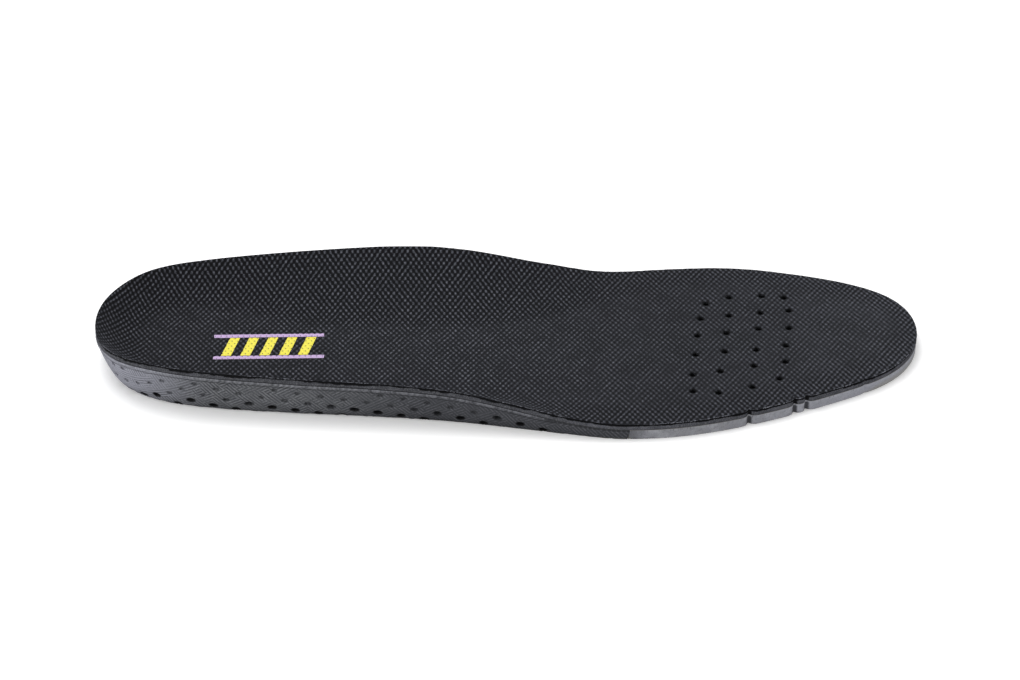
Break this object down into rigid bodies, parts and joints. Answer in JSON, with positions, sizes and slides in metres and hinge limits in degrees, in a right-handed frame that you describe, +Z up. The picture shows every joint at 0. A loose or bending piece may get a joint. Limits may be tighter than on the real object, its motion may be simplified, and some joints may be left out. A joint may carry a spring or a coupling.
{
  "type": "cushioned insole",
  "caption": "Cushioned shoe insole with a cloth top, moulded heel cup and raised arch, flat forefoot and a soft gel pad under the heel.",
  "frame": {"origin": "on the sole plane, under the middle of the insole's bounding box", "axes": "+X to the toe, +Y to the inner (arch) side of the foot, +Z up towards the foot"},
  "size_m": [0.285, 0.0932, 0.0198],
  "materials": {
    "cover_cloth": "matt knitted mesh",
    "backing_foam": "matt open foam",
    "heel_foam": "matt moulded foam",
    "forefoot_foam": "matt ribbed foam",
    "gel": "soft satin gel",
    "pocket_frame": "satin",
    "print": "thin satin film"
  },
  "bodies": {
    "rear": {"top_cover_rear": "cover_cloth", "backing_foam_rear": "backing_foam", "heel_arch_base": "heel_foam", "forefoot_base_rear": "forefoot_foam", "heel_gel_pad": "gel", "gel_pocket_frame": "pocket_frame", "heel_transfer_mark": "print"},
    "forefoot": {"top_cover_fore": "cover_cloth", "backing_foam_fore": "backing_foam", "forefoot_base_fore": "forefoot_foam"}
  },
  "joints": [
    {"name": "forefoot_flex", "type": "hinge", "parent": "rear", "child": "forefoot", "pos_m": [0.05136, 0, 0.0072], "axis": [-0.2524, -0.9676, 0], "range_deg": [0, 50], "stiffness_Nm_per_rad": 0.05}
  ]
}
